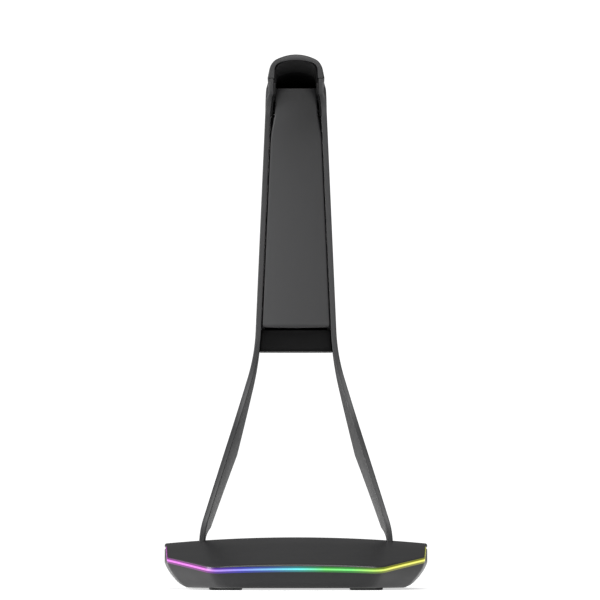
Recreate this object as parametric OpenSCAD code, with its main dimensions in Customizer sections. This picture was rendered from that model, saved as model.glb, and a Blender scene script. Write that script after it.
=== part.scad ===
// Headphone stand: a weighted light-up base, two bent side rails that are the legs and
// the edges of the neck, a cover panel between them, and a padded hook at the top.
// Millimetres, +Z up, front towards -Y, origin on the table under the middle of the whole.

/* [Base] */
// Width of the base at its rear corners
base_w = 134; // [126:1:150]
// Depth of the base from front to rear
base_d = 104; // [98:1:120]
// Height of the cover at the rear, on the centre line
rear_h = 25.7; // [24:0.1:30]
// Height of the cover at its front edge, on the centre line
front_h = 12.6; // [12:0.1:14]
// Width of the flat front face between its two folds
front_w = 81; // [70:1:90]
// How far the sides pull in from the rim down to the underside
flare = 9; // [6:0.5:10]
// Thickness of the moulded walls of the base
wall = 2.2; // [1.8:0.1:2.6]
// Thickness of the rubber feet below the underside
foot_h = 1; // [0.8:0.1:2]

/* [Rails] */
// Thickness of the side rails
rail_t = 2.8; // [2.4:0.1:3.2]
// Distance from the centre line to the middle of a rail at the base
stance = 47; // [44:0.1:48]
// Inward lean of the legs, seen from the front
leg_lean = 16.5; // [14:0.1:18]
// Greatest backward lean of the legs, seen from the side
lean_back = 37; // [34:1:38]
// Forward lean of the neck
lean_fwd = 11; // [8:1:13]

/* [Neck and hook] */
// Distance from the centre line to the middle of a rail at the top of the neck
neck_x = 14; // [13:0.1:15]
// Widening of the neck from top to bottom, per millimetre of height and side
neck_flare = 0.046; // [0.03:0.001:0.05]
// Height of the underside of the hook arm
arm_z = 250; // [240:0.1:260]
// Length of the straight part of the hook arm
arm_l = 42; // [34:1:46]
// Height of the arch above the underside of the arm
arch_h = 12.3; // [12:0.1:15]
// Thickness of the silicone pad on the arch
pad_t = 1.6; // [1.2:0.1:2]

/* [Hidden] */
$fn = 48;
fit = 0.1;        // gap between parts that are fixed together
slack = 0.15;     // gap around parts that slide

// Base: where it stands and the surfaces that shape it.
base_y = -15.6;                          // middle of the base, so that the origin is mid-depth
base_front = base_y - base_d / 2;
base_rear = base_y + base_d / 2;
side_y = base_front + 31;                // corner where the front facets meet the sides
side_x = base_w / 2 - 4.3;
crest_y = base_y + 14;                   // where the slope of the cover meets its level rear
top_slope = atan((rear_h - front_h) / (crest_y - base_front));
crown_r = 700;                           // side-to-side crown of the cover
seam_slope = top_slope;                  // the seam runs along under the cover's edge
seam_r = 1000;                           // side-to-side crown of the seam below it
seam_h = front_h - 2.4;                  // height of the seam at the front, on the centre line
seam_rear = 20.2;                        // level at which the seam runs out along the sides
guide_t = 1.6;                           // visible height of the light guide
guide_w = 3.9;                           // depth of the light guide behind the rim
guide_end = base_y + 10;
floor_z = foot_h + 2;
big = 400;

// Outline of the base, drawn in from the rim by "inset" at the front and sides only.
function base_points(inset) =
    let (fx = front_w / 2 - inset * 0.55, sx = side_x - inset, rx = base_w / 2 - inset)
    [[-fx, base_front + inset], [fx, base_front + inset], [sx, side_y + inset * 0.4],
     [rx, base_rear], [-rx, base_rear], [-sx, side_y + inset * 0.4]];

// Height of the seam over a point of the base.
function seam_z(x, y) =
    min(seam_rear, seam_h + (y - base_front) * tan(seam_slope) - x * x / (2 * seam_r));

module base_outline(inset = 0, rear_inset = 0) {
    intersection() {
        polygon(base_points(inset));
        translate([-big / 2, -big + base_rear - rear_inset]) square([big, big]);
    }
}

// Everything below a surface that slopes up to the rear and is crowned from side to side.
module below(h, slope, r) {
    translate([0, base_front, h])
        rotate([slope - 90, 0, 0])
        translate([0, r, -big / 2])
        cylinder(h = big, r = r, $fn = 720);
}

// The top of the cover slopes up to the crest and runs level behind it.
module below_top(drop) {
    intersection() {
        below(front_h - drop, top_slope, crown_r);
        below(rear_h - drop, 0, crown_r);
    }
}

module below_seam(lift) {
    intersection() {
        below(seam_h + lift, seam_slope, seam_r);
        translate([-big / 2, -big / 2, -big + seam_rear + (lift > 0 ? fit : 0)])
            cube([big, big, big]);
    }
}

// Flared body of the tray: the rim outline, drawn in along a curve to the underside.
curve_h = 12;

function flare_in(u) = flare * (1 - u) * (1 - 0.55 * u);

module flared_body(inset, low) {
    steps = 6;
    hull() {
        for (i = [0 : steps])
            let (u = between((low - foot_h) / curve_h, 1, i / steps))
                translate([0, 0, foot_h + curve_h * u])
                linear_extrude(i == steps ? rear_h : 0.1)
                base_outline(inset + flare_in(u), inset);
    }
}

// Places of the screws that hold cover and tray together, from below.
cover_screw_xy = [for (sx = [-1, 1]) each [[sx * 45, base_y - 14], [sx * 34, base_y + 17]]];
cover_screw_l = 12;
boss_r = 3.6;
screw_r = 1.5;
head_r = 2.8;
head_h = 1.8;

module at_each(places) {
    for (p = places) translate([p[0], p[1], 0]) children();
}

// A pan-head screw standing on its head, with a hexagon socket cut in it.
module screw_up(z, length, r = screw_r, hr = head_r, hh = head_h) {
    translate([0, 0, z])
        difference() {
            union() {
                cylinder(h = hh, r = hr);
                cylinder(h = length, r = r);
            }
            translate([0, 0, -0.5]) cylinder(h = 0.5 + hh * 0.55, r = hr * 0.5, $fn = 6);
        }
}

// Rear wall: power inlet and mode button.
board_z = floor_z + 2.5;
board_t = 1.2;
inlet_w = 8.94;
inlet_h = 3.26;
inlet_l = 7.3;
inlet_z = board_z + board_t + fit + inlet_h / 2;
button_x = 20;
button_z = board_z + board_t + 2.6;
button_w = 9;
button_h = 4.2;
button_out = 0.9;
button_travel = 0.5;

module pill(w, h, length) {
    rotate([-90, 0, 0]) linear_extrude(length) pill_face(w, h);
}

module pill_face(w, h) {
    square([w - h, h], center = true);
    for (s = [-1, 1]) translate([s * (w - h) / 2, 0]) circle(d = h);
}

// Feet of the rails inside the base.
rail_y = base_y + 18;                    // front edge of a rail at the base
leg_d = 15;                              // depth of a rail at the base
rail_z = floor_z + 1;
slot_gap = 0.3;                          // gap round a rail where it passes the cover
socket_w = 9;
socket_h = 12;
socket_d = leg_d + 8;
socket_screw_y = [rail_y - 2, rail_y + leg_d + 2];

// Ballast.
plate_w = 64;
plate_d = 40;
plate_t = 5;
plate_y = base_y - 36;
plate_holes = [for (sx = [-1, 1]) [sx * (plate_w / 2 - 5), plate_y + plate_d / 2]];
board_w = 52;
board_x = -18;
board_y = base_y + 28;
board_d = 20;
board_holes = [[board_x + 4, board_y + 4], [board_x + board_w - 4, board_y + 4]];

module base_tray() {
    color("#232325") difference() {
        union() {
            difference() {
                intersection() {
                    flared_body(0, foot_h);
                    below_seam(-guide_t / 2);
                }
                flared_body(wall, floor_z);
            }
            at_each(cover_screw_xy) translate([0, 0, floor_z - 0.5])
                cylinder(h = 5.5, r = boss_r);
            at_each(plate_holes) translate([0, 0, floor_z - 0.5]) cylinder(h = 1, r = 4);
            at_each(board_holes) translate([0, 0, floor_z - 0.5])
                cylinder(h = board_z - floor_z + 0.5, r = 2.4);
        }
        at_each(cover_screw_xy) {
            translate([0, 0, -1]) cylinder(h = 20, r = screw_r + fit);
            translate([0, 0, -1]) cylinder(h = 1 + foot_h + head_h + 0.4, r = head_r + 0.3);
        }
        at_each(plate_holes) translate([0, 0, floor_z - 1.2]) cylinder(h = 5, r = 1.2);
        at_each(board_holes) translate([0, 0, floor_z - 1]) cylinder(h = 6, r = 0.9);
        for (s = [-1, 1], y = socket_screw_y)
            translate([s * stance, y, -1]) {
                cylinder(h = 8, r = 1.6);
                cylinder(h = 1 + foot_h + 1.2, r = 2.9);
            }
        for (sx = [-1, 1], y = foot_ys)
            translate([sx * foot_x, y, foot_h - 1]) linear_extrude(1.7) foot_shape(fit);
        translate([0, base_rear - wall - 1, inlet_z]) pill(inlet_w + 0.3, inlet_h + 0.3, wall + 2);
        translate([button_x, base_rear - wall - 1, button_z])
            pill(button_w + 2 * slack, button_h + 2 * slack, wall + 2);
    }
}

module base_cover() {
    color("#4a4a4c") difference() {
        union() {
            difference() {
                intersection() {
                    linear_extrude(rear_h + 2) base_outline();
                    below_top(0);
                }
                intersection() {
                    linear_extrude(rear_h + 2) base_outline(wall, wall);
                    below_top(wall);
                }
                below_seam(guide_t / 2);
            }
            intersection() {
                at_each(cover_screw_xy) translate([0, 0, floor_z + 5.2])
                    cylinder(h = 20, r = boss_r);
                below_top(1);
            }
        }
        at_each(cover_screw_xy) translate([0, 0, floor_z])
            cylinder(h = cover_screw_l - 1, r = screw_r + 0.02);
        for (s = [-1, 1])
            translate([s * stance - rail_t / 2 - slot_gap, rail_y - slot_gap, 10])
                cube([rail_t + 2 * slot_gap, leg_d + 2 * slot_gap, 20]);
    }
}

// Strip of acrylic that shows as a thin line of light in the seam.
module light_guide() {
    color("#dfe6ee") difference() {
        intersection() {
            linear_extrude(rear_h) difference() {
                base_outline(0.05);
                base_outline(guide_w);
                translate([-big / 2, guide_end]) square([big, big]);
            }
            below_seam(guide_t / 2 - 0.02);
        }
        below_seam(0.02 - guide_t / 2);
    }
}

// Flexible circuit on edge behind the light guide.
strip_in = guide_w + 2.5;
strip_t = 0.3;
strip_end = side_y - 1;

module led_strip() {
    color("#f2f2ee") difference() {
        intersection() {
            linear_extrude(rear_h) difference() {
                base_outline(strip_in);
                base_outline(strip_in + strip_t);
                translate([-big / 2, strip_end]) square([big, big]);
            }
            below_seam(guide_t / 2 - 0.3);
        }
        below_seam(-3);
    }
}

function between(a, b, t) = a + (b - a) * t;

// One light-emitting chip, facing outwards at a point of the front outline.
module led_chip(a, b, t) {
    p = between(a, b, t);
    translate([p[0], p[1], seam_z(p[0], p[1]) - 1.5])
        rotate([0, 0, atan2(b[1] - a[1], b[0] - a[0])])
        translate([0, -0.55, 0])
        cube([2, 0.9, 1.4], center = true);
}

module led_chips() {
    pts = base_points(strip_in);
    color("#fffbe0") {
        for (i = [0 : 8]) led_chip(pts[0], pts[1], (i + 0.5) / 9);
        for (i = [0 : 4]) led_chip(pts[1], pts[2], (i + 0.5) / 5);
        for (i = [0 : 4]) led_chip(pts[5], pts[0], (i + 0.5) / 5);
    }
}

// Three-wire ribbon from the board to the strip, round the ballast.
ribbon_route = [[-14, board_y, board_z + 1.9], [-14, board_y - 5, board_z + 1.9],
    [-24, board_y - 12, board_z + 1], [-37, base_y + 4, board_z], [-38, base_y - 20, board_z],
    [-37, base_y - 38, board_z], [-30, base_front + 9, board_z + 1]];

module led_cable() {
    colors = ["#c22b2b", "#e8e8e8", "#2a2a2a"];
    for (k = [0 : 2])
        color(colors[k])
        skin([for (i = [0 : len(ribbon_route) - 1])
            let (p = ribbon_route[i], q = ribbon_route[min(i + 1, len(ribbon_route) - 1)],
                 o = ribbon_route[max(i - 1, 0)], dx = q[0] - o[0], dy = q[1] - o[1],
                 n = norm([dx, dy]), side = [dy / n, -dx / n])
            [for (a = [0 : 60 : 300])
                [p[0] + side[0] * ((k - 1) * 1.25 - 0.5 * cos(a)),
                 p[1] + side[1] * ((k - 1) * 1.25 - 0.5 * cos(a)),
                 p[2] + 0.5 * sin(a)]]]);
}

module control_board() {
    color("#1d5a36") difference() {
        translate([board_x, board_y, board_z]) cube([board_w, board_d, board_t]);
        at_each(board_holes) translate([0, 0, board_z - 1]) cylinder(h = 4, r = 1.1);
    }
}

module board_chips() {
    top = board_z + board_t;
    color("#1a1a1a") {
        translate([-8, board_y + 5, top]) cube([5, 6, 1.4]);
        translate([4, board_y + 4, top]) cube([7, 7, 0.9]);
        translate([14, board_y + 3, top]) cube([3, 2, 0.8]);
        translate([-10, board_y + 13, top]) cube([2, 1.2, 0.6]);
    }
}

module usb_c_shell() {
    color("silver") translate([0, base_rear - inlet_l, inlet_z]) difference() {
        pill(inlet_w, inlet_h, inlet_l);
        translate([0, 0.5, 0]) pill(inlet_w - 0.6, inlet_h - 0.6, inlet_l);
    }
}

module usb_c_tongue() {
    color("#202020") translate([-3.35, base_rear - inlet_l + 0.5, inlet_z - 0.35])
        cube([6.7, inlet_l - 1.2, 0.7]);
}

// Side-push switch on the board, with the plunger that the button drives.
switch_front = base_rear - wall - 1.6 - 4.2;

module switch_body() {
    color("#2b2b2b") difference() {
        translate([button_x - 3.1, switch_front, board_z + board_t]) cube([6.2, 3.6, 4.4]);
        translate([button_x, switch_front + 1.6, button_z])
            rotate([-90, 0, 0]) cylinder(h = 5, r = 1.3);
    }
}

module switch_plunger() {
    color("#b9a27a") translate([button_x, switch_front + 2.4, button_z])
        rotate([-90, 0, 0]) cylinder(h = 2.4, r = 1.2);
}

module mode_button() {
    color("#2c2c2e") translate([button_x, 0, button_z]) {
        translate([0, base_rear - wall - 0.4, 0]) pill(button_w, button_h, wall + 0.4 + button_out);
        translate([0, base_rear - wall - 1, 0]) pill(button_w + 2.4, button_h + 1.2, 0.7);
    }
}

module ballast_plate() {
    color("#8a8d90") difference() {
        translate([-plate_w / 2, plate_y, floor_z + 0.5]) cube([plate_w, plate_d, plate_t]);
        at_each(plate_holes) translate([0, 0, floor_z]) cylinder(h = 8, r = 1.7);
    }
}

foot_w = 16;
foot_d = 9;
foot_x = 34;
foot_ys = [base_front + 22, base_rear - 12];

module foot_shape(gap = 0) {
    r = 3;
    square([foot_w - 2 * r, foot_d + 2 * gap], center = true);
    square([foot_w + 2 * gap, foot_d - 2 * r], center = true);
    for (sx = [-1, 1], sy = [-1, 1])
        translate([sx * (foot_w / 2 - r), sy * (foot_d / 2 - r)]) circle(r = r + gap);
}

module rubber_foot(side, row) {
    color("#161616") translate([side * foot_x, foot_ys[row], 0])
        linear_extrude(foot_h + 0.6) foot_shape();
}

module cover_screws() {
    color("#3a3a3c") at_each(cover_screw_xy) screw_up(foot_h + 0.4, cover_screw_l);
}

module ballast_screws() {
    color("#b0b2b5") at_each(plate_holes)
        translate([0, 0, floor_z + 0.5 + plate_t + 1.6])
        mirror([0, 0, 1]) screw_up(0, 8.2, 1.2 - 0.02, 2.4, 1.6);
}

module board_screws() {
    color("#b0b2b5") at_each(board_holes)
        translate([0, 0, board_z + board_t + 1.2])
        mirror([0, 0, 1]) screw_up(0, 5, 0.88, 1.8, 1.2);
}

// Zinc socket that a rail stands in, screwed to the tray from below.
module leg_socket(side) {
    color("#77797c") difference() {
        translate([side * stance - socket_w / 2, rail_y - 4, floor_z])
            cube([socket_w, socket_d, socket_h]);
        translate([side * stance - rail_t / 2 - fit, rail_y - fit, rail_z - fit])
            cube([rail_t + 2 * fit, leg_d + 2 * fit, 20]);
        for (y = leg_screw_y)
            translate([side * stance - 10, y, leg_screw_z]) rotate([0, 90, 0])
                cylinder(h = 20, r = screw_r + fit);
        for (y = socket_screw_y)
            translate([side * stance, y, floor_z - 1]) cylinder(h = 6, r = 1.25);
    }
}

leg_screw_y = [rail_y + 4, rail_y + leg_d - 4];
leg_screw_z = rail_z + 5.5;

module leg_screws() {
    color("#3a3a3c") for (s = [-1, 1], y = leg_screw_y)
        translate([s * (stance - socket_w / 2 - head_h), y, leg_screw_z])
        rotate([0, s * 90, 0]) screw_up(0, head_h + socket_w - 1);
}

module socket_screws() {
    color("#3a3a3c") for (s = [-1, 1], y = socket_screw_y)
        translate([s * stance, y, 0]) screw_up(foot_h - 0.2, 6, 1.2, 2.6, 1.3);
}

// Side view of the rails, followed along their front edge from the foot to the tip of the
// hook. A state is [y, z, lean from upright, depth]. A run is [bend radius, or 0 where it
// is straight, bend angle or length, steps, depth at its end].
neck_d = 21;
foot_r = 31;
foot_bend = 26;                          // lean just above the base
leg_r = 260;
knee_r = 67;
arm_r = 12;
straight_foot = 24 - rail_z;
knee_z = rail_z + straight_foot + foot_r * sin(foot_bend)
    + leg_r * (sin(lean_back) - sin(foot_bend)) + knee_r * (sin(lean_back) + sin(lean_fwd));
neck_l = (arm_z - arm_r * (1 - sin(lean_fwd)) - knee_z) / cos(lean_fwd);
start = [rail_y, rail_z, 0, leg_d];
leg_runs = [[0, straight_foot, 2, leg_d], [foot_r, foot_bend, 5, 16],
    [leg_r, lean_back - foot_bend, 4, 21], [knee_r, -(lean_back + lean_fwd), 12, 23]];
neck_run = [0, neck_l, 4, neck_d];
bend_run = [arm_r, lean_fwd - 90, 10, arch_h];
arm_run = [0, arm_l, 2, arch_h];

function along(p, run, t) =
    let (h0 = p[2], h1 = run[0] == 0 ? h0 : h0 + run[1] * t, r = run[0] * sign(run[1]))
    run[0] == 0
        ? [p[0] + run[1] * t * sin(h0), p[1] + run[1] * t * cos(h0), h0, between(p[3], run[3], t)]
        : [p[0] + r * (cos(h0) - cos(h1)), p[1] + r * (sin(h1) - sin(h0)), h1,
           between(p[3], run[3], t)];
function after(p, runs, i = 0) = i == len(runs) ? p : after(along(p, runs[i], 1), runs, i + 1);
function follow(p, runs, i = 0) = i == len(runs) ? [] :
    concat([for (k = [1 : runs[i][2]]) along(p, runs[i], k / runs[i][2])],
        follow(along(p, runs[i], 1), runs, i + 1));

knee = after(start, leg_runs);
neck_top = after(knee, [neck_run]);

// Front view of the rails: distance from the centre line to the middle of a rail.
foot_kink = 28.4;                        // height at which the legs start to lean inwards
function soft_max(a, b, w) = max(a, b) + pow(max(w - abs(a - b), 0), 2) / (4 * w);
function soft_min(a, b, w) = -soft_max(-a, -b, w);
function bend_share(p) = max(0, (-p[2] - lean_fwd) / (90 - lean_fwd));
function rail_x(p) =
    let (neck_line = neck_x + (arm_z - p[1]) * neck_flare,
         leg_line = stance - (p[1] - foot_kink) * tan(leg_lean))
    soft_min(stance, soft_max(leg_line, neck_line, 3), 1.8) - 1.4 * pow(bend_share(p), 2);
function rail_depth(p) = between(p[3], 1.8, bend_share(p));

// A point of a cross-section: u across, v back from the front edge of the rails.
function place(p, u, v) = [u, p[0] + v * cos(p[2]), p[1] - v * sin(p[2])];
function ring(p, outline) = [for (q = outline) place(p, q[0], q[1])];

// Solid through a list of rings, each with the same even number of points. The two ends
// are closed by strips, so a ring may also be a C or an arch whose walls run side by side.
module skin(rings) {
    n = len(rings[0]);
    last = (len(rings) - 1) * n;
    strips = [for (i = [0 : n / 2 - 2]) [i, i + 1, n - 2 - i, n - 1 - i]];
    polyhedron(
        points = [for (r = rings, q = r) q],
        faces = concat(
            strips,
            [for (j = [0 : len(rings) - 2], i = [0 : n - 1])
                [j * n + i, (j + 1) * n + i, (j + 1) * n + (i + 1) % n, j * n + (i + 1) % n]],
            [for (s = strips) [last + s[3], last + s[2], last + s[1], last + s[0]]]),
        convexity = 10);
}

function box_outline(u0, u1, v0, v1, c) =
    [[u0 + c, v0], [u1 - c, v0], [u1, v0 + c], [u1, v1 - c],
     [u1 - c, v1], [u0 + c, v1], [u0, v1 - c], [u0, v0 + c]];

module side_rail(side) {
    all = concat([start], follow(start, concat(leg_runs, [neck_run, bend_run, arm_run])));
    color("#3c3c3e") difference() {
        skin([for (p = all)
            let (x = rail_x(p), o = box_outline(x - rail_t / 2, x + rail_t / 2, 0, rail_depth(p), 0.4))
            ring(p, side > 0 ? o : [for (i = [7 : -1 : 0]) [-o[i][0], o[i][1]]])]);
        for (y = leg_screw_y)
            translate([side * stance - 10, y, leg_screw_z]) rotate([0, 90, 0])
                cylinder(h = 20, r = screw_r + fit);
        rail_bores(side);
    }
}

// Inner face of a rail, and the states along the neck that its parts are built on.
function inner_x(p) = rail_x(p) - rail_t / 2;
hip = after(start, [leg_runs[0], leg_runs[1], leg_runs[2]]);
function knee_at(t) = along(hip, leg_runs[3], t);
function neck_at(t) = along(knee, neck_run, t);
cap_from = 0.79;
cap_to = 0.97;
neck_end = 0.996;                        // where the core and back cover meet the arch
neck_states = concat([knee_at(cap_to + 0.01)], [for (t = [0 : 0.25 : 0.75]) neck_at(t)],
    [neck_at(neck_end)]);
core_t = 1.8;
core_front = 4;
core_back = 3.2;                         // how far the core stops short of the rails' rear

// Screws through the core and the arch into the rails, and through the core into the panel.
core_screw_at = [neck_at(0.1), neck_at(0.5), neck_at(0.9)];
arch_screw_at = [along(neck_top, bend_run, 0.1), along(neck_top, bend_run, 0.34)];
panel_screw_at = [neck_at(0.22), neck_at(0.78)];
core_screw_v = 11;
arch_screw_v = 8;
panel_screw_u = 7;
small_r = 1;
small_head_r = 1.9;
small_head_h = 1.2;
seat_gap = 0.12;                         // lets a head lie flat on a wall that tapers
arch_t = 0.8;
function arch_seat(p) = inner_x(p) - fit - arch_t;
function core_seat(p) = inner_x(p) - fit - core_t;

// Puts its children at a point of a cross-section, with +Z running towards the rear.
module across(p, u, v) {
    translate(place(p, u, v)) rotate([-90 - p[2], 0, 0]) children();
}

// Puts its children at a point of a cross-section, with +Z running outwards to one side.
module outward(p, u, v, side) {
    translate(place(p, side * u, v)) rotate([0, side * 90, 0]) children();
}

module rail_bores(side) {
    for (p = core_screw_at)
        outward(p, inner_x(p) - 1, core_screw_v, side) cylinder(h = 3.1, r = small_r + 0.02);
    for (p = arch_screw_at)
        outward(p, inner_x(p) - 1, arch_screw_v, side) cylinder(h = 3.1, r = small_r + 0.02);
}

module neck_core() {
    color("#1e1e20") difference() {
        skin([for (p = neck_states)
            let (a = inner_x(p) - fit, b = p[3] - core_back, w = core_t)
            ring(p, [[a, core_front], [a, b], [-a, b], [-a, core_front],
                [-a + w, core_front], [-a + w, b - w], [a - w, b - w], [a - w, core_front]])]);
        for (p = core_screw_at, s = [-1, 1])
            outward(p, core_seat(p) - 2, core_screw_v, s) cylinder(h = 6, r = small_r + fit);
        for (p = panel_screw_at, s = [-1, 1]) {
            across(p, s * panel_screw_u, p[3] - core_back - core_t - 2)
                cylinder(h = 6, r = small_r + fit);
            across(p, s * panel_screw_u, p[3] - core_back - small_head_h)
                cylinder(h = 3, r = small_head_r + 0.15);
        }
    }
}

// Moulded plug that closes the lower end of the neck between the rails.
module neck_foot_cap() {
    front = 5;
    color("#151516") difference() {
        skin([for (i = [0 : 4])
            let (p = knee_at(between(cap_from, cap_to, i / 4)), a = inner_x(p) - fit)
            ring(p, box_outline(-a, a, front, p[3] - core_back, 0.5))]);
        skin([for (i = [0 : 4])
            let (p = knee_at(between(cap_from + 0.04, cap_to + 0.03, i / 4)), a = inner_x(p) - 2)
            ring(p, box_outline(-a, a, front + 2, p[3] - core_back - 2, 0.5))]);
    }
}

panel_extra = 14.2;
panel_crown = 2;
panel_t = 2.6;

// Half width of the panel: it runs inside the rails, then inside the walls of the arch.
function panel_half(p) =
    inner_x(p) - 0.5 - 1.4 * min(1, max(0, (p[1] - neck_top[1]) / 10 + 1));

// Crowned front and flat back, drawn in by "soften" near the ends to round them.
function panel_outline(p, soften) =
    let (a = panel_half(p) - soften * 0.2)
    concat([for (k = [-5 : 5]) [a * k / 5, 0.4 + soften - panel_crown * (1 - k * k / 25)]],
        [for (u = [a, 0, -a]) [u, panel_t + 0.4]]);

module neck_panel() {
    top = [0, panel_extra, 1, neck_d];
    round_in = [[0, 1.7], [0.012, 0.7], [0.03, 0]];
    color("#4b4b4d") difference() {
        union() {
            skin(concat(
                [for (e = round_in) let (p = neck_at(e[0])) ring(p, panel_outline(p, e[1]))],
                [for (t = [0.2 : 0.2 : 1]) let (p = neck_at(t)) ring(p, panel_outline(p, 0))],
                [for (t = [0.5, 1]) let (p = along(neck_top, top, t)) ring(p, panel_outline(p, 0))]));
            for (p = panel_screw_at, s = [-1, 1])
                across(p, s * panel_screw_u, panel_t)
                    cylinder(h = p[3] - core_back - core_t - panel_t - fit, r = 2.2);
        }
        for (p = panel_screw_at, s = [-1, 1])
            across(p, s * panel_screw_u, panel_t + 3)
                cylinder(h = 20, r = small_r - 0.02);
    }
}

module neck_back_cover() {
    states = concat([for (i = [0 : 4]) knee_at(between(cap_from, 1, i / 4))],
        [for (t = [0.25 : 0.25 : 0.75]) neck_at(t)], [neck_at(neck_end)]);
    color("#3a3a3c") skin([for (p = states)
        let (a = inner_x(p) - 0.3, d = p[3])
        ring(p, concat([for (u = [-a, 0, a]) [u, d - 2.8]],
            [for (k = [5 : -1 : -5]) [a * k / 5, d - 0.6 + 1.2 * (1 - k * k / 25)]]))]);
}

// Arch across the section: sides that lean inwards from half width a at height v0, a crown
// that reaches v0 + b in the middle, and rounded shoulders between them. The crown drops
// towards the sides by "sink" as part of b.
wall_lean = 0.05;
wall_sink = 0.25;
pad_lean = 0.2;
pad_sink = 0.43;
function arch(a, b, v0, lean = wall_lean, sink = wall_sink, steps = 16) =
    [for (i = [0 : steps])
        let (t = 180 * i / steps, c = abs(cos(t)), s = sin(t),
             to_side = a / (c + lean * s),
             to_crown = 2 * b / (s + sqrt(s * s + 4 * sink * pow(b * c / a, 2))),
             reach = soft_min(to_side, to_crown, 3))
        [reach * cos(t), v0 + reach * s]];
function reversed(list) = [for (i = [len(list) - 1 : -1 : 0]) list[i]];

bend_states = follow(neck_top, [bend_run]);
arm_states = follow(after(neck_top, [bend_run]), [arm_run]);
pad_gap = 0.35;

module hook_arch() {
    color("#1b1b1c") difference() {
        skin([for (p = concat([neck_top], bend_states, arm_states))
            let (a = inner_x(p) - fit)
            ring(p, concat(arch(a, p[3], 0), reversed(arch(a - arch_t, p[3] - arch_t - 0.2, 0))))]);
        for (p = arch_screw_at, s = [-1, 1]) {
            outward(p, arch_seat(p) - 2, arch_screw_v, s) cylinder(h = 5, r = small_r + fit);
            outward(p, arch_seat(p) - 3, arch_screw_v, s) cylinder(h = 3, r = small_head_r + 0.15);
        }
    }
}

// Silicone cover: its skirts stand on the rails and its crown lies on the arch.
module saddle_pad() {
    color("#4d4d4f") skin([for (p = concat([neck_top], bend_states, arm_states))
        let (v0 = rail_depth(p) + pad_gap, a = rail_x(p) + rail_t / 2 + 0.1)
        ring(p, concat(arch(a, p[3] + pad_t - v0, v0, pad_lean, pad_sink),
            reversed(arch(inner_x(p), max(0.3, p[3] + 0.15 - v0), v0))))]);
}

module small_screw(length) {
    screw_up(0, length, small_r - 0.02, small_head_r, small_head_h);
}

module rail_screws() {
    color("#b0b2b5") for (p = core_screw_at, s = [-1, 1])
        outward(p, core_seat(p) - small_head_h - seat_gap, core_screw_v, s) small_screw(4.9);
}

module arch_screws() {
    color("#b0b2b5") for (p = arch_screw_at, s = [-1, 1])
        outward(p, arch_seat(p) - small_head_h - 0.02, arch_screw_v, s) small_screw(3.7);
}

// Screws from behind the core into the bosses of the panel.
module back_screws() {
    color("#b0b2b5") for (p = panel_screw_at, s = [-1, 1])
        across(p, s * panel_screw_u, p[3] - core_back + 0.1)
            mirror([0, 0, 1]) small_screw(9);
}

base_tray();
base_cover();
light_guide();
led_strip();
led_chips();
led_cable();
control_board();
board_chips();
usb_c_shell();
usb_c_tongue();
switch_body();
switch_plunger();
mode_button();
ballast_plate();
rubber_foot(-1, 0);  // foot_front_left
rubber_foot(1, 0);  // foot_front_right
rubber_foot(-1, 1);  // foot_rear_left
rubber_foot(1, 1);  // foot_rear_right
cover_screws();
ballast_screws();
board_screws();
leg_socket(-1);  // leg_socket_left
leg_socket(1);  // leg_socket_right
leg_screws();
socket_screws();
side_rail(-1);  // side_rail_left
side_rail(1);  // side_rail_right
neck_core();
neck_foot_cap();
neck_panel();
neck_back_cover();
rail_screws();
back_screws();
hook_arch();
saddle_pad();
arch_screws();
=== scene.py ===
"""Headphone stand: a weighted light-up base, two bent side rails with a panelled neck
between them, and a padded hook. Meshes are built in millimetres, in the frame's own axes."""

import math

import bpy
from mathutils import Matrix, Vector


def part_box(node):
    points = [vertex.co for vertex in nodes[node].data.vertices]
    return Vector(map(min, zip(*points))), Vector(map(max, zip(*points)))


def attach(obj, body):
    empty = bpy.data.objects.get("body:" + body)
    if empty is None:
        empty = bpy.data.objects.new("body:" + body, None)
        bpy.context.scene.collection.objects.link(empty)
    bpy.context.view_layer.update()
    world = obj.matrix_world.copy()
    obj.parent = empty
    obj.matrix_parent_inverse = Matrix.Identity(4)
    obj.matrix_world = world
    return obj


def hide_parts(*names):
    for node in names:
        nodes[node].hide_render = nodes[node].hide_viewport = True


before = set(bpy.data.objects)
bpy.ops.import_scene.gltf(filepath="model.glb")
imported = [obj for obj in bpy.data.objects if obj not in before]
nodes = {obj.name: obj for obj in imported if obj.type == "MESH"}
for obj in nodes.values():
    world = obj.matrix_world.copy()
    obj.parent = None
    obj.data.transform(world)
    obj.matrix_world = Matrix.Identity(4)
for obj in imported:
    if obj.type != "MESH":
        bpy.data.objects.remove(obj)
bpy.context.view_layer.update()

# Base tray. Lower half of the base, injection-moulded in matt black ABS: a flat underside,
# flared sides and a chamfered rim on which the light guide lies. It carries all the rest.
MM = 1000
base_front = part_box("base_cover")[0].y * MM
base_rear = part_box("base_cover")[1].y * MM
half_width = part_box("base_cover")[1].x * MM
rear_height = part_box("base_cover")[1].z * MM
front_height = 12.6
front_half = 40.5
side_corner = [half_width - 4.3, base_front + 31]
underside = 1.0
flare = 9.0
flare_height = 12.0
wall = 2.2
seam_height = front_height - 2.4
seam_level = 20.2
seam_crown = 1000.0
crest_y = base_front + 66
seam_slope = (rear_height - front_height) / (crest_y - base_front)
guide_half = 0.8
groove = 0.55


def linear(code):
    """An sRGB hex colour as linear red, green, blue and alpha."""
    values = [int(code[i:i + 2], 16) / 255 for i in (1, 3, 5)]
    return [v / 12.92 if v <= 0.04045 else ((v + 0.055) / 1.055) ** 2.4 for v in values] + [1.0]


def add(tree, kind, sockets=None, **settings):
    """Adds a node. A socket is given a value, or the output of another node."""
    node = tree.nodes.new(kind)
    for name, value in settings.items():
        setattr(node, name, value)
    for name, value in (sockets or {}).items():
        if isinstance(value, bpy.types.NodeSocket):
            tree.links.new(value, node.inputs[name])
        else:
            node.inputs[name].default_value = value
    return node


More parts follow.
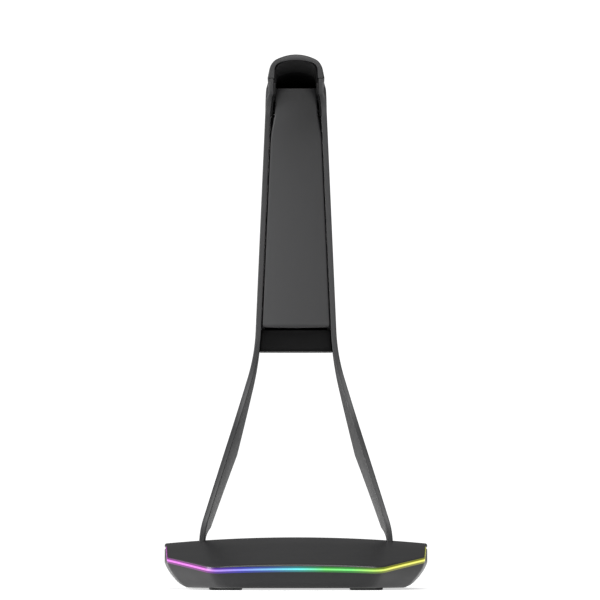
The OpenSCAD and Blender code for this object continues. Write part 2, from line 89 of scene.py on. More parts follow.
def surface(name, dark, light, roughness, grain, depth, metallic=0.0, specular=0.5, glow=0.0):
    """A moulded, sprayed or plated surface: cloudy colour, a fine grain, and uneven gloss.

    Grain and depth are in millimetres; the clouds are 40 times the grain. Glow is the
    strength of light that the surface gives off itself.
    """
    material = bpy.data.materials.new(name)
    material.use_nodes = True
    tree = material.node_tree
    tree.nodes.clear()
    where = add(tree, "ShaderNodeTexCoord").outputs["Object"]
    clouds = add(tree, "ShaderNodeTexNoise",
                 {"Vector": where, "Scale": MM / (grain * 40), "Detail": 3.0})
    speckle = add(tree, "ShaderNodeTexNoise",
                  {"Vector": where, "Scale": MM / grain, "Detail": 2.0, "Roughness": 0.6})
    blend = add(tree, "ShaderNodeMath",
                {0: clouds.outputs[0], 1: 0.7, 2: 0.15}, operation="MULTIPLY_ADD")
    speckled = add(tree, "ShaderNodeMath",
                   {0: speckle.outputs[0], 1: 0.3, 2: blend.outputs[0]},
                   operation="MULTIPLY_ADD")
    colour = add(tree, "ShaderNodeMix",
                 {"Factor": speckled.outputs[0], 6: linear(dark), 7: linear(light)},
                 data_type="RGBA")
    gloss = add(tree, "ShaderNodeMapRange",
                {"Value": clouds.outputs[0], "From Min": 0.3, "From Max": 0.7,
                 "To Min": roughness - 0.04, "To Max": roughness + 0.04})
    bump = add(tree, "ShaderNodeBump",
               {"Height": speckle.outputs[0], "Strength": 1.0, "Distance": depth / MM})
    shader = add(tree, "ShaderNodeBsdfPrincipled",
                 {"Base Color": colour.outputs[2], "Roughness": gloss.outputs[0],
                  "Metallic": metallic, "Specular IOR Level": specular,
                  "Emission Color": linear(light), "Emission Strength": glow,
                  "Normal": bump.outputs[0]})
    add(tree, "ShaderNodeOutputMaterial", {"Surface": shader.outputs[0]})
    return material


def rounded(corners, radii, steps=8):
    """A polygon with each corner turned into an arc of its own radius."""
    points = []
    for i, corner in enumerate(corners):
        before = corners[i - 1]
        after = corners[(i + 1) % len(corners)]
        a = math.atan2(before[1] - corner[1], before[0] - corner[0])
        b = math.atan2(after[1] - corner[1], after[0] - corner[0])
        turn = (b - a + math.pi) % (2 * math.pi) - math.pi
        half = abs(turn) / 2
        reach = radii[i] / math.sin(half)
        middle = a + turn / 2
        centre = [corner[0] + reach * math.cos(middle), corner[1] + reach * math.sin(middle)]
        sweep = math.pi - abs(turn)
        side = 1 if turn < 0 else -1
        for k in range(steps + 1):
            angle = middle + math.pi + side * sweep * (k / steps - 0.5)
            points.append([centre[0] + radii[i] * math.cos(angle),
                           centre[1] + radii[i] * math.sin(angle)])
    return points


def spread(points, cuts):
    """A closed outline with each of its edges cut into a number of shorter ones."""
    result = []
    for p, q, count in zip(points, points[1:] + points[:1], cuts):
        result += [[p[0] + (q[0] - p[0]) * k / count, p[1] + (q[1] - p[1]) * k / count]
                   for k in range(count)]
    return result


def base_corners(inset, rear_inset):
    """Corners of the base's outline, drawn in from the rim at front and sides, and at the rear."""
    front = front_half - inset * 0.55
    side = side_corner[0] - inset
    rear = half_width - inset
    rear_y = base_rear - rear_inset
    side_y = side_corner[1] + inset * 0.4
    return [[-front, base_front + inset], [front, base_front + inset], [side, side_y],
            [rear, rear_y], [-rear, rear_y], [-side, side_y]]


corner_radii = [9.0, 9.0, 5.0, 3.0, 3.0, 5.0]
longest_edge = 2.5
sharp_line = rounded(base_corners(0, 0), corner_radii)
edge_cuts = [max(1, math.ceil(math.dist(p, q) / longest_edge))
             for p, q in zip(sharp_line, sharp_line[1:] + sharp_line[:1])]
rim_line = spread(sharp_line, edge_cuts)
inner_lines = {}


def rim_point(k, inset, rear_inset=None):
    """Point k of the rim's outline, drawn in by inset, or by another amount at the rear."""
    drawn_in = (inset, inset if rear_inset is None else rear_inset)
    if drawn_in not in inner_lines:
        inner_lines[drawn_in] = spread(rounded(base_corners(*drawn_in), corner_radii), edge_cuts)
    return list(inner_lines[drawn_in][k])


def seam(x, y):
    """Height of the lit seam between tray and cover, before it runs level."""
    return seam_height + (y - base_front) * seam_slope - x * x / (2 * seam_crown)


def flare_inset(z):
    """How far the side of the tray has pulled in from the rim at height z."""
    u = min(1.0, max(0.0, (z - underside) / flare_height))
    return flare * (1 - u) * (1 - 0.55 * u)


def tray_top(k):
    return min(seam_level, seam(*rim_line[k]) - guide_half)


def loft(rings, closed=True):
    """Points and faces of a skin through rings of points, closed at both ends if asked."""
    count = len(rings[0])
    points = [p for ring in rings for p in ring]
    faces = [[j * count + i, j * count + (i + 1) % count,
              (j + 1) * count + (i + 1) % count, (j + 1) * count + i]
             for j in range(len(rings) - 1) for i in range(count)]
    if closed:
        faces.append(list(range(count - 1, -1, -1)))
        faces.append([(len(rings) - 1) * count + i for i in range(count)])
    return points, faces


def make(name, shape, material, replaced, body="stand", sharp=32):
    """A finished piece from points and faces in millimetres, in place of its CAD nodes."""
    mesh = bpy.data.meshes.new(name)
    mesh.from_pydata([[c / MM for c in p] for p in shape[0]], [], shape[1])
    mesh.materials.append(material)
    mesh.polygons.foreach_set("use_smooth", [True] * len(mesh.polygons))
    mesh.set_sharp_from_angle(angle=math.radians(sharp))
    piece = bpy.data.objects.new(name, mesh)
    bpy.context.scene.collection.objects.link(piece)
    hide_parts(*replaced)
    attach(piece, body)
    return piece


def bored(piece, cutters):
    """Cuts closed shapes, each given as points and faces in millimetres, out of a piece."""
    for shape in cutters:
        mesh = bpy.data.meshes.new("cutter")
        mesh.from_pydata([[c / MM for c in p] for p in shape[0]], [], shape[1])
        cutter = bpy.data.objects.new("cutter", mesh)
        bpy.context.scene.collection.objects.link(cutter)
        cut = piece.modifiers.new("cut", "BOOLEAN")
        cut.object = cutter
        cut.operation = "DIFFERENCE"
        cut.solver = "EXACT"
        bpy.context.view_layer.update()
        evaluated = piece.evaluated_get(bpy.context.evaluated_depsgraph_get())
        result = bpy.data.meshes.new_from_object(evaluated)
        piece.modifiers.clear()
        piece.data = result
        bpy.data.objects.remove(cutter)


def upright(outline, low, high):
    """A straight prism on an outline in plan, from one height to another."""
    return loft([[[x, y, low] for x, y in outline], [[x, y, high] for x, y in outline]])


def circle(x, y, r, count=32):
    return [[x + r * math.cos(2 * math.pi * k / count), y + r * math.sin(2 * math.pi * k / count)]
            for k in range(count)]


def pill_cutter(x, z, width, height):
    """A slot with round ends, cut forwards through the rear wall."""
    half = (width - height) / 2
    ring = [[x + math.copysign(half, math.cos(a)) + height / 2 * math.cos(a),
             z + height / 2 * math.sin(a)] for a in [math.pi * (k + 0.5) / 12 for k in range(24)]]
    near = [[u, base_rear + 1, v] for u, v in ring]
    far = [[u, base_rear - wall - 1, v] for u, v in ring]
    return loft([near, far])


def tray_ring(height, extra=0.0):
    """One level of the tray's outside: height runs from 0 at the underside to 1 at the rim."""
    ring = []
    for k in range(len(rim_line)):
        z = underside + (tray_top(k) - groove - underside) * height
        ring.append(rim_point(k, flare_inset(z) + extra, extra) + [z])
    return ring


def tray_rim(inset, rear_inset):
    return [rim_point(k, inset, rear_inset) + [tray_top(k)] for k in range(len(rim_line))]


def tray_inside(height):
    floor = underside + 2
    ring = []
    for k in range(len(rim_line)):
        z = floor + (tray_top(k) - floor) * height
        ring.append(rim_point(k, flare_inset(z) + wall + 0.6, wall) + [z])
    return ring


# The mould's fine spark-eroded grain breaks the highlights on the flared sides.
tray_abs = surface("moulded_abs_matt_black", "#19191a", "#222223", 0.4, 0.35, 0.012, specular=0.3)
tray_skin = loft([tray_ring(0, 1.2), tray_ring(0.02, 0.45), tray_ring(0.06, 0.1)]
                 + [tray_ring(t / 14) for t in range(2, 15)]
                 + [tray_rim(groove, 0.3), tray_rim(4.6, wall)]
                 + [tray_inside(t / 5) for t in (4, 3, 2, 1, 0)])
base_tray = make("base_tray_shell", tray_skin, tray_abs, ["base_tray"])

cover_screws_at = [[s * x, base_front + y] for s in (-1, 1) for x, y in ((45, 38), (34, 69))]
rail_y = base_front + 70
stance = 47.0
socket_screws_at = [[s * stance, rail_y + y] for s in (-1, 1) for y in (-2, 17)]
inlet_z = (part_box("usb_c_shell")[0].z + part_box("usb_c_shell")[1].z) / 2 * MM
button_x = (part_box("mode_button")[0].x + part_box("mode_button")[1].x) / 2 * MM
button_z = (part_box("mode_button")[0].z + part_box("mode_button")[1].z) / 2 * MM
cover_bore_r = 3.1
cover_bore_top = 3.1
socket_bore_r = 2.9
socket_bore_top = 2.2
inlet_opening = (9.24, 3.56)
button_opening = (9.3, 4.5)
bored(base_tray,
      [upright(circle(x, y, cover_bore_r), -1, cover_bore_top) for x, y in cover_screws_at]
      + [upright(circle(x, y, socket_bore_r), -1, socket_bore_top) for x, y in socket_screws_at]
      + [pill_cutter(0, inlet_z, *inlet_opening),
         pill_cutter(button_x, button_z, *button_opening)])

# Rubber feet. Four die-moulded nitrile rubber pads, pressed and glued into shallow pockets
# in the underside. The rubber is dull black with a faint dusty bloom.
foot_rubber = surface("nitrile_rubber_matt", "#121212", "#1c1c1c", 0.75, 0.25, 0.02)
foot_corner = 3.0


def foot_ring(low, high, inset, z):
    corners = [[low.x + inset, low.y + inset], [high.x - inset, low.y + inset],
               [high.x - inset, high.y - inset], [low.x + inset, high.y - inset]]
    return [[x, y, z] for x, y in rounded(corners, [foot_corner - inset] * 4, 6)]


for foot_name in ("foot_front_left", "foot_front_right", "foot_rear_left", "foot_rear_right"):
    low, high = [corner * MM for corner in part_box(foot_name)]
    foot_skin = loft([foot_ring(low, high, inset, z)
                      for inset, z in ((0.7, 0), (0.25, 0.12), (0, 0.45), (0, high.z))])
    make(foot_name + "_pad", foot_skin, foot_rubber, [foot_name])

# Ballast plate. A zinc-plated mild steel plate, sawn and tumbled, screwed over the front of
# the tray so that the hook's load can't tip the stand.
def finish_node(names, material, edge=0.0):
    """Gives CAD nodes their material, and a small round on their edges in millimetres."""
    for name in names:
        node = nodes[name]
        node.data.materials.clear()
        node.data.materials.append(material)
        if edge:
            weld = node.modifiers.new("join", "WELD")
            weld.merge_threshold = 0.00001
            bevel = node.modifiers.new("edges", "BEVEL")
            bevel.width = edge / MM
            bevel.segments = 2
            bevel.limit_method = "ANGLE"
            bevel.angle_limit = math.radians(35)


plated_steel = surface("steel_zinc_plated", "#8b8e92", "#b4b7bb", 0.38, 0.6, 0.004, metallic=1.0)
zinc_screw = surface("screw_steel_zinc_plated", "#a3a6aa", "#c4c7cb", 0.3, 0.3, 0.003,
                     metallic=1.0)
black_screw = surface("screw_steel_black_zinc", "#1c1c1e", "#2e2e31", 0.4, 0.3, 0.004,
                      metallic=0.6)
finish_node(["ballast_plate"], plated_steel, 0.3)
finish_node(["ballast_screws", "board_screws"], zinc_screw, 0.15)

# Leg sockets. Die-cast zinc blocks, as cast with a light tumble, each screwed down from
# below. A rail stands in each and is clamped by two screws with black zinc plating.
cast_zinc = surface("zinc_die_cast", "#6d6f73", "#8a8c90", 0.5, 0.8, 0.02, metallic=1.0)
finish_node(["leg_socket_left", "leg_socket_right"], cast_zinc, 0.4)
finish_node(["leg_screws", "socket_screws", "cover_screws"], black_screw, 0.2)

# Control board. Glass-epoxy board with green solder mask and moulded chips, and the USB-C
# inlet of nickel-plated steel round a black tongue, which shows in the rear wall.
solder_mask = surface("glass_epoxy_green_mask", "#143f27", "#1d5a36", 0.3, 0.5, 0.01)
chip_resin = surface("moulded_epoxy_black", "#141414", "#1f1f1f", 0.5, 0.2, 0.01)
nickel = surface("steel_nickel_plated", "#a9a9a7", "#c9c9c6", 0.25, 0.4, 0.003, metallic=1.0)
tongue_lcp = surface("liquid_crystal_polymer_black", "#17171a", "#212124", 0.45, 0.2, 0.006)
finish_node(["control_board"], solder_mask)
finish_node(["board_chips"], chip_resin, 0.1)
finish_node(["usb_c_shell"], nickel, 0.12)
finish_node(["usb_c_tongue"], tongue_lcp, 0.1)

# Mode button. A moulded ABS cap in the rear wall, on a brass plunger that slides in the
# switch on the board. Both ride on the button's own body and travel half a millimetre.
button_abs = surface("moulded_abs_satin_black", "#26262a", "#303033", 0.4, 0.3, 0.01)
brass = surface("brass_turned", "#a98a4f", "#c9ac70", 0.3, 0.3, 0.004, metallic=1.0)
finish_node(["switch_body"], chip_resin, 0.15)
finish_node(["switch_plunger"], brass, 0.1)
finish_node(["mode_button"], button_abs, 0.35)

# Light strip. White flexible circuit on edge behind the guide, with 19 light-emitting chips
# and a three-wire ribbon from the board.
strip_film = surface("polyimide_white_coated", "#dcdcd6", "#efefea", 0.5, 0.4, 0.005)
led_resin = surface("led_silicone_phosphor", "#e6dfae", "#f5f0cc", 0.35, 0.3, 0.005)
wire_pvc = surface("wire_pvc_red", "#8e1f1f", "#b32a2a", 0.45, 0.3, 0.01)
finish_node(["led_strip"], strip_film)
finish_node(["led_chips"], led_resin, 0.1)
finish_node(["led_cable"], wire_pvc)

# Light guide. One strip of frosted acrylic lying in the chamfered seam, lit from behind. The
# chips change colour from end to end: the middle of the strip glows almost white and its
# edges are deep and saturated. The strip's section reaches out over the chamfers, and its
# deep, saturated edges are painted light there: the coloured glow that the chips throw onto
# the chamfers of cover and tray.
guide_end = base_front + 62
guide_depth = 3.9
guide_run = [k for k in range(len(rim_line)) if rim_line[k][1] < guide_end]
# The outline begins part of the way along the guide, so the run is turned to start at its end.
split = max(range(1, len(guide_run)), key=lambda i: guide_run[i] - guide_run[i - 1])
if guide_run[split] - guide_run[split - 1] > 1:
    guide_run = guide_run[split:] + guide_run[:split]
guide_section = [(guide_depth, guide_half), (groove, guide_half), (0.0, guide_half + groove),
                 (-0.12, guide_half * 0.85), (-0.18, 0.0), (-0.12, -guide_half * 0.85),
                 (0.0, -guide_half - groove), (groove, -guide_half), (guide_depth, -guide_half)]
guide_rings = []
for k in guide_run:
    middle = min(seam(*rim_line[k]), seam_level - 0.35)
    guide_rings.append([rim_point(k, inset + 0.03) + [middle + rise]
                        for inset, rise in guide_section])
guide_shape = loft(guide_rings)


def glowing(name):
    """Acrylic that glows in a row of colours along X, deeper towards its upper and lower edge;
    the deep edges are painted light, the glow that the chips throw onto the chamfers.
    """
    material = bpy.data.materials.new(name)
    material.use_nodes = True
    tree = material.node_tree
    tree.nodes.clear()
    where = add(tree, "ShaderNodeTexCoord").outputs["Object"]
    x = add(tree, "ShaderNodeSeparateXYZ", {0: where}).outputs["X"]
    along = add(tree, "ShaderNodeMapRange",
                {"Value": x, "From Min": -half_width / MM, "From Max": half_width / MM})
    frost = add(tree, "ShaderNodeTexNoise", {"Vector": where, "Scale": 900.0, "Detail": 2.0})
    chamfer_glow_hues = add(tree, "ShaderNodeValToRGB", {0: along.outputs[0]})
    cores = add(tree, "ShaderNodeValToRGB", {0: along.outputs[0]})
    for ramp, column in ((chamfer_glow_hues.color_ramp, 1), (cores.color_ramp, 2)):
        for i, row in enumerate(glow_colours):
            place = (row[0] + half_width) / (2 * half_width)
            stop = ramp.elements[0] if i == 0 else ramp.elements.new(place)
            stop.position = place
            stop.color = linear(row[column])
        ramp.elements.remove(ramp.elements[-1])
    across = add(tree, "ShaderNodeUVMap", uv_map="section")
    height = add(tree, "ShaderNodeSeparateXYZ", {0: across.outputs[0]}).outputs["Y"]
    core = add(tree, "ShaderNodeMapRange",
               {"Value": height, "From Min": 0.5, "From Max": 0.85},
               interpolation_type="SMOOTHSTEP")
    colour = add(tree, "ShaderNodeMix",
                 {"Factor": core.outputs[0], 6: chamfer_glow_hues.outputs[0], 7: cores.outputs[0]},
                 data_type="RGBA")
    power = add(tree, "ShaderNodeMapRange",
                {"Value": frost.outputs[0], "From Min": 0.3, "From Max": 0.7,
                 "To Min": 0.94, "To Max": 1.06})
    shader = add(tree, "ShaderNodeBsdfPrincipled",
                 {"Base Color": linear("#202224"), "Roughness": 0.35,
                  "Emission Color": colour.outputs[2], "Emission Strength": power.outputs[0]})
    add(tree, "ShaderNodeOutputMaterial", {"Surface": shader.outputs[0]})
    return material


# Each row: position along X in mm, the deep edge colour (painted glow on the chamfers), and the
# pale colour of the glowing core.
glow_colours = [(-66, "#7a007a", "#ff80ff"), (-44, "#7a007a", "#ff80ff"),
                (-38, "#4b0090", "#c090ff"), (-26, "#1414a0", "#9a9aff"),
                (-12, "#1a4a90", "#80d0ff"), (1, "#107878", "#70ffff"),
                (14, "#107a10", "#80ff80"), (26, "#107a10", "#80ff80"),
                (36, "#4b7a00", "#c0ff70"), (46, "#7a7a00", "#ffff70"),
                (66, "#7a7a00", "#ffff70")]
guide_acrylic = glowing("acrylic_frosted_lit")
light_guide = make("light_guide_strip", guide_shape, guide_acrylic, ["light_guide"],
                   sharp=60)
section_map = light_guide.data.uv_layers.new(name="section")
for loop in light_guide.data.loops:
    ring_index, section_index = divmod(loop.vertex_index, len(guide_section))
    rise = guide_section[section_index][1]
    edge_share = min(1.0, abs(rise) / (guide_half + groove))
    section_map.data[loop.index].uv = (ring_index / len(guide_run), 1 - edge_share)

# Base cover. Upper half of the base, moulded in ABS and sprayed satin black: a crowned top
# that rises to a crest, rounded edges and two slots for the legs. Screwed on from below.
cover_crown = 700.0
cover_round = 0.8


def cover_top(x, y):
    """Height of the cover: a slope that eases into a level rear, crowned from side to side."""
    rise = front_height + (y - base_front) * seam_slope
    ease = 4.0
    gap = max(ease - abs(rise - rear_height), 0) ** 2 / (4 * ease)
    return min(rise, rear_height) - gap - x * x / (2 * cover_crown)


def cover_base(k):
    return min(seam_level + 0.1, seam(*rim_line[k]) + guide_half)


def cover_edge(inset, drop):
    return [rim_point(k, inset) + [cover_top(*rim_point(k, inset)) - drop]
            for k in range(len(rim_line))]


def cover_field(share, drop, inset):
    """One ring of the top, drawn towards the middle of the cover."""
    centre = [0.0, (base_front + base_rear) / 2]
    ring = []
    for k in range(len(rim_line)):
        x, y = rim_point(k, inset)
        x = centre[0] + (x - centre[0]) * share
        y = centre[1] + (y - centre[1]) * share
        ring.append([x, y, cover_top(x, y) - drop])
    return ring


def cover_wall(inset, share):
    """One level of the upright side, from the seam's chamfer to the rounded edge."""
    ring = []
    for k in range(len(rim_line)):
        low_z = cover_base(k) + groove
        high_z = cover_top(*rim_line[k]) - cover_round
        ring.append(rim_point(k, inset) + [low_z + (max(high_z, low_z) - low_z) * share])
    return ring


shares = [0.985, 0.95, 0.9, 0.8, 0.7, 0.6, 0.5, 0.4, 0.3, 0.2, 0.1, 0.02]
round_steps = [math.radians(a) for a in (15, 30, 45, 60, 75, 90)]
cover_skin = loft(
    [cover_field(s, wall, wall) for s in reversed(shares)]
    + [cover_field(1, wall, wall)]
    + [[rim_point(k, wall) + [cover_base(k)] for k in range(len(rim_line))]]
    + [[rim_point(k, groove, 0.3) + [cover_base(k)] for k in range(len(rim_line))]]
    + [cover_wall(0, s) for s in (0, 0.5, 1)]
    + [cover_edge(cover_round * (1 - math.cos(a)), cover_round * (1 - math.sin(a)))
       for a in round_steps]
    + [cover_field(s, 0, cover_round) for s in shares])
# A smooth sprayed coat, glossier than the moulded tray, so that the legs darken it softly.
cover_paint = surface("abs_sprayed_satin_black", "#2c2c2d", "#353536", 0.32, 0.5, 0.002)
base_cover = make("base_cover_shell", cover_skin, cover_paint, ["base_cover"])
rail_t = 2.8
slot_gap = 0.3
leg_d = 15.0
leg_slots = []
for side in (-1, 1):
    x = side * stance
    half = rail_t / 2 + slot_gap
    leg_slots.append(upright([[x - half, rail_y - slot_gap], [x + half, rail_y - slot_gap],
                              [x + half, rail_y + leg_d + slot_gap],
                              [x - half, rail_y + leg_d + slot_gap]], 15, 30))
bored(base_cover, leg_slots)

# Side rails. Two flat bars of aluminium, bent to shape and powder-coated black: they are the
# legs, the edges of the neck and the thin strips under the hook. Clamped in the sockets.
leg_lean = math.tan(math.radians(16.5))
foot_kink = 28.4
lean_back = 37.0
foot_bend = 26.0
lean_forward = 11.0
neck_x = 14.0
neck_flare = 0.046
arm_z = 250.0
arch_height = 12.3


def leaned(degrees):
    return math.sin(math.radians(degrees))


foot_z = 4.0
bend_radius = 12.0
foot_radius = 31.0
leg_radius = 260.0
knee_radius = 67.0
knee_z = (24.0 + foot_radius * leaned(foot_bend)
          + leg_radius * (leaned(lean_back) - leaned(foot_bend))
          + knee_radius * (leaned(lean_back) + leaned(lean_forward)))
neck_length = ((arm_z - bend_radius * (1 - leaned(lean_forward)) - knee_z)
               / math.cos(math.radians(lean_forward)))
start = (rail_y, foot_z, 0.0, leg_d)
foot_run = (0, 20.0, 2, leg_d)
ankle_run = (foot_radius, foot_bend, 12, 16.0)
shin_run = (leg_radius, lean_back - foot_bend, 12, 21.0)
knee_run = (knee_radius, -lean_back - lean_forward, 40, 23.0)
neck_run = (0, neck_length, 30, 21.0)
bend_run = (bend_radius, lean_forward - 90, 30, arch_height)
arm_run = (0, 42.0, 14, arch_height)


def along(state, run, share):
    """State part of the way along a run. A state is y, z, lean from upright, and depth.

    A run is a bend radius, or 0 where it is straight, then its angle or length, the number
    of steps it is drawn in, and the depth at its end.
    """
    y, z, lean, depth = state
    radius, amount, _, end_depth = run
    deep = depth + (end_depth - depth) * share
    if radius == 0:
        step = amount * share
        return (y + step * leaned(lean), z + step * leaned(90 - lean), lean, deep)
    turned = lean + amount * share
    signed = math.copysign(radius, amount)
    return (y + signed * (leaned(90 - lean) - leaned(90 - turned)),
            z + signed * (leaned(turned) - leaned(lean)), turned, deep)


def follow(state, runs):
    """All the states along some runs, without the first."""
    states = []
    for run in runs:
        states += [along(state, run, k / run[2]) for k in range(1, run[2] + 1)]
        state = states[-1]
    return states


def smooth_max(a, b, width):
    return max(a, b) + max(width - abs(a - b), 0) ** 2 / (4 * width)


def bend_share(state):
    return max(0.0, (-state[2] - lean_forward) / (90 - lean_forward))


def rail_x(state):
    """Distance from the centre line to the middle of a rail."""
    neck_line = neck_x + (arm_z - state[1]) * neck_flare
    leg_line = stance - (state[1] - foot_kink) * leg_lean
    inner = smooth_max(leg_line, neck_line, 3.0)
    return -smooth_max(-stance, -inner, 1.8) - 1.4 * bend_share(state) ** 2


def inner_x(state):
    return rail_x(state) - rail_t / 2


def rail_depth(state):
    return state[3] + (1.8 - state[3]) * bend_share(state)


def place(state, u, v):
    """A point of a cross-section: u across, v back from the front edge of the rails."""
    y, z, lean, _ = state
    return [u, y + v * leaned(90 - lean), z - v * leaned(lean)]


def box_section(u0, u1, v0, v1, radius, steps=3):
    return rounded([[u0, v0], [u1, v0], [u1, v1], [u0, v1]], [radius] * 4, steps)


hip = follow(start, [foot_run, ankle_run, shin_run])[-1]
knee = follow(hip, [knee_run])[-1]
neck_top = follow(knee, [neck_run])[-1]
rail_states = [start] + follow(start, [foot_run, ankle_run, shin_run, knee_run, neck_run,
                                       bend_run, arm_run])
# The powder coat's orange-peel grain, dull and slightly paler than the plastic beside it.
rail_powder = surface("aluminium_powder_coated_black", "#2b2b2c", "#343435", 0.46, 0.4, 0.02)
for side, node_name in ((-1, "side_rail_left"), (1, "side_rail_right")):
    rail_rings = []
    for state in rail_states:
        middle = side * rail_x(state)
        outline = box_section(middle - rail_t / 2, middle + rail_t / 2, 0, rail_depth(state), 0.45)
        rail_rings.append([place(state, u, v) for u, v in outline])
    make(node_name + "_bar", loft(rail_rings), rail_powder, [node_name])

# Neck core. A moulded ABS channel that joins the rails inside the neck; only its rear edge
# could be seen through the gap behind the panel. Small zinc-plated screws hold it.
# Nearly black and almost without shine: the near-black colour is painted shade, the deep
# shadow in the hollows of the neck, the foot cap and the hook painted into the plastic.
painted_shade_abs = surface("abs_black_painted_shade", "#060606", "#0b0b0c", 0.6, 0.4, 0.015, specular=0.15)
finish_node(["neck_core"], painted_shade_abs)
finish_node(["rail_screws", "back_screws", "arch_screws"], black_screw, 0.1)

# Foot cap. A moulded dark ABS plug that closes the lower end of the neck between the rails,
# set back from the panel, with a rounded lower lip. Its near-black colour is painted shade,
# the shadow in the recess below the panel.
cap_states = [along(hip, knee_run, 0.79 + 0.18 * k / 12) for k in range(13)]
cap_rings = []
for k, state in enumerate(cap_states):
    half = inner_x(state) - 0.1
    pull = 1.2 * max(0.0, 1 - k / 2) ** 2
    outline = box_section(-half, half, 5 + pull, state[3] - 3.2 - pull, 0.8)
    cap_rings.append([place(state, u, v) for u, v in outline])
make("neck_foot_cap_plug", loft(cap_rings), painted_shade_abs, ["neck_foot_cap"])

# Neck panel. The long crowned front cover, moulded in ABS with a fine satin texture. It
# fills the space between the rails but for a thin groove each side, and its lower edge
# rolls under. Four hidden screws hold it from behind.
panel_thickness = 2.6
panel_crown = 2.0
panel_extra = 14.2
panel_round = 0.7


def panel_half(state):
    """Half width of the panel, which narrows near the top to pass inside the arch."""
    tuck = min(1.0, max(0.0, (state[1] - neck_top[1]) / 10 + 1))
    return inner_x(state) - 0.5 - 1.4 * tuck


def panel_ring(state, back, narrow):
    """Crowned front with rounded edges; back and narrow pull an end in to round it."""
    half = panel_half(state) - narrow
    outline = []
    for k in range(-14, 15):
        share = math.sin(math.pi / 2 * k / 14)
        edge = min(1.0, max(0.0, (abs(share) - 1) * half / panel_round + 1))
        sink = panel_round * (1 - math.sqrt(1 - edge ** 2))
        outline.append([half * share, 0.4 - panel_crown * (1 - share ** 2) + sink])
    outline += [[half, panel_thickness + 0.4], [0, panel_thickness + 0.4],
                [-half, panel_thickness + 0.4]]
    return [place(state, u, min(v + back, panel_thickness + 0.4)) for u, v in outline]


def neck_at(share):
    return along(knee, neck_run, share)


roll = [(0.0, 2.2), (0.0015, 1.5), (0.004, 0.95), (0.008, 0.5), (0.014, 0.2), (0.022, 0.05)]
top_run = (0, panel_extra, 6, 21.0)
panel_rings = [panel_ring(neck_at(share), back, back * 0.1) for share, back in roll]
panel_rings += [panel_ring(neck_at(0.03 + 0.97 * k / 30), 0, 0) for k in range(31)]
panel_rings += [panel_ring(state, 0, 0) for state in follow(neck_top, [top_run])]
# Even satin grey in soft light, with a thin brighter line along each rounded edge.
panel_abs = surface("abs_fine_texture_satin_black", "#2c2c2d", "#313132", 0.42, 0.3, 0.008)
make("neck_panel_cover", loft(panel_rings), panel_abs, ["neck_panel"])

# Back cover. Moulded in the same satin ABS as the panel, gently crowned, and pressed into the
# rear of the neck from the knee to the hook.
back_states = [along(hip, knee_run, 0.79 + 0.21 * k / 12) for k in range(13)]
back_states += [neck_at(0.996 * k / 24) for k in range(1, 25)]
back_rings = []
for k, state in enumerate(back_states):
    half = inner_x(state) - 0.3
    end = min(k, len(back_states) - 1 - k)
    pull = 0.6 * max(0.0, 1 - end / 1.5) ** 2
    deep = state[3]
    outline = [[-half, deep - 2.8], [0, deep - 2.8], [half, deep - 2.8]]
    outline += [[half * u / 10, deep - 0.6 - pull + 1.2 * (1 - (u / 10) ** 2)]
                for u in range(10, -11, -1)]
    back_rings.append([place(state, u, v) for u, v in outline])
make("neck_back_cover_shell", loft(back_rings), panel_abs, ["neck_back_cover"])

# Hook arch. A moulded dark ABS arch that bends forward from the neck over the thin ends of
# the rails, hollow underneath, screwed to the rails inside the bend. Its near-black colour
# is painted shade, the deep shadow under the hook.
arch_wall = 0.8


wall_lean = 0.05
wall_sink = 0.25


def arch(half, height, base, lean=wall_lean, sink=wall_sink, steps=40):
    """Sides that lean inwards from a base line, a low crown, and round shoulders."""
    outline = []
    for k in range(steps + 1):
        angle = math.pi * k / steps
        c = abs(math.cos(angle))
        s = math.sin(angle)
        to_side = half / (c + lean * s)
        to_crown = 2 * height / (s + math.sqrt(s * s + 4 * sink * (height * c / half) ** 2))
        reach = -smooth_max(-to_side, -to_crown, 3.0)
        outline.append([reach * math.cos(angle), base + reach * s])
    return outline


hook_states = [neck_top] + follow(neck_top, [bend_run, arm_run])
arch_rings = []
for state in hook_states[:-1]:
    half = inner_x(state) - 0.1
    outer = arch(half, state[3], 0)
    inner = arch(half - arch_wall, state[3] - arch_wall - 0.2, 0)
    arch_rings.append([place(state, u, v) for u, v in outer + inner[::-1]])


def loft_channel(rings):
    """A skin through open sections whose two sides run back to back, closed by strips."""
    points, faces = loft(rings, closed=False)
    count = len(rings[0])
    last = (len(rings) - 1) * count
    for i in range(count // 2 - 1):
        strip = [i, i + 1, count - 2 - i, count - 1 - i]
        faces.append(strip[::-1])
        faces.append([last + k for k in strip])
    return points, faces


make("hook_arch_shell", loft_channel(arch_rings), painted_shade_abs, ["hook_arch"])

# Saddle pad. A slip-on cover of dark grey silicone over the arch, with the soft, dry sheen of
# moulded silicone. Its skirts stop just above the rails and its ends are rounded.
pad_thickness = 1.6
pad_gap = 0.35
pad_lean = 0.2
pad_sink = 0.43


def pad_ring(state, shrink, lip=0.0):
    """The pad's section; shrink rounds the outside of an end, and lip turns it over the arch."""
    base = rail_depth(state) + pad_gap
    outer_half = rail_x(state) + rail_t / 2 + 0.1 - shrink
    outer = arch(outer_half, state[3] + pad_thickness - base - shrink, base, pad_lean, pad_sink)
    inner = arch(inner_x(state) - lip * 0.3, max(0.3, state[3] + 0.15 - base - lip), base)
    return [place(state, u, v) for u, v in outer + inner[::-1]]


arm_start = follow(neck_top, [bend_run])[-1]
pad_rings = [pad_ring(state, 0) for state in hook_states[:-1]]
tip = ((0.945, 0.0, 0.0), (0.95, 0.0, 1.1), (0.982, 0.0, 1.2), (0.99, 0.1, 1.2),
       (0.996, 0.3, 1.1), (1.0, 0.65, 0.9))
for share, shrink, lip in tip:
    pad_rings.append(pad_ring(along(arm_start, arm_run, share), shrink, lip))
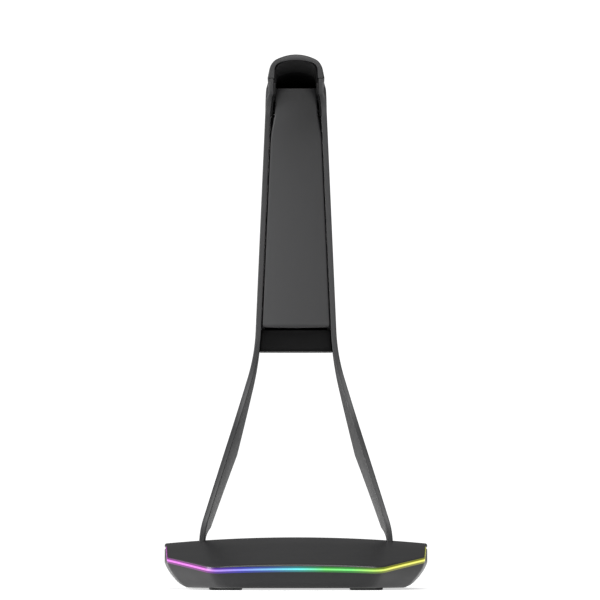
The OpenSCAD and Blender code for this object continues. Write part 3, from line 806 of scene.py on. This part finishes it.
# Silicone drinks in the light: a dry, dark grey with no clear highlight.
saddle_silicone = surface("silicone_dark_grey_matt", "#262627", "#2f2f30", 0.5, 0.3, 0.01)
make("saddle_pad_cover", loft_channel(pad_rings), saddle_silicone, ["saddle_pad"])

# Studio. A plain pale floor and large soft lights: one broad light over the front, and one
# from the left that brightens the faces turned to it. The surround looks white but lights
# the stand only dimly, so that the black parts stay black.
floor_mesh = bpy.data.meshes.new("floor")
reach = 0.9
floor_mesh.from_pydata([[-reach, -reach, 0], [reach, -reach, 0], [reach, reach, 0],
                        [-reach, reach, 0]], [], [[0, 1, 2, 3]])
floor_mesh.materials.append(surface("painted_studio_floor_white", "#f8f8f8", "#fbfbfb", 0.8,
                                    4.0, 0.02, specular=0.2, glow=0.62))
floor = bpy.data.objects.new("floor", floor_mesh)
bpy.context.scene.collection.objects.link(floor)

world = bpy.data.worlds.new("studio")
world.use_nodes = True
sky = world.node_tree.nodes["Background"]
sky.inputs["Color"].default_value = linear("#ffffff")
seen = add(world.node_tree, "ShaderNodeLightPath").outputs["Is Camera Ray"]
dimmed = add(world.node_tree, "ShaderNodeMapRange", {"Value": seen, "To Min": 0.12, "To Max": 1.12})
world.node_tree.links.new(dimmed.outputs[0], sky.inputs["Strength"])
bpy.context.scene.world = world


def softbox(name, position, target, size, watts):
    """A square area light at a position in metres, turned towards a target."""
    lamp = bpy.data.lights.new(name, "AREA")
    lamp.shape = "SQUARE"
    lamp.size = size
    lamp.energy = watts
    holder = bpy.data.objects.new(name, lamp)
    bpy.context.scene.collection.objects.link(holder)
    holder.location = position
    aim = holder.location.copy()
    aim.x, aim.y, aim.z = [t - p for t, p in zip(target, position)]
    holder.rotation_mode = "QUATERNION"
    holder.rotation_quaternion = aim.to_track_quat("-Z", "Y")
    return holder


softbox("broad_light", (0.3, -1.6, 1.6), (0, 0, 0.12), 1.2, 33)
softbox("left_light", (-1.5, -0.3, 0.5), (0, 0, 0.1), 0.9, 26)

# Camera. Low and level with the base, square to the front.
camera_data = bpy.data.cameras.new("camera")
camera_data.sensor_width = 36
camera_data.lens = 192
camera_data.clip_start = 0.05
camera_data.clip_end = 500
camera = bpy.data.objects.new("camera", camera_data)
bpy.context.scene.collection.objects.link(camera)
eye = (0, -1.6, 0.020)
target = (0.002, 0, 0.1443)
camera.location = eye
sight = camera.location.copy()
sight.x, sight.y, sight.z = [t - e for t, e in zip(target, eye)]
camera.rotation_mode = "QUATERNION"
camera.rotation_quaternion = sight.to_track_quat("-Z", "Y")
bpy.context.scene.camera = camera
bpy.context.scene.view_settings.view_transform = "Standard"
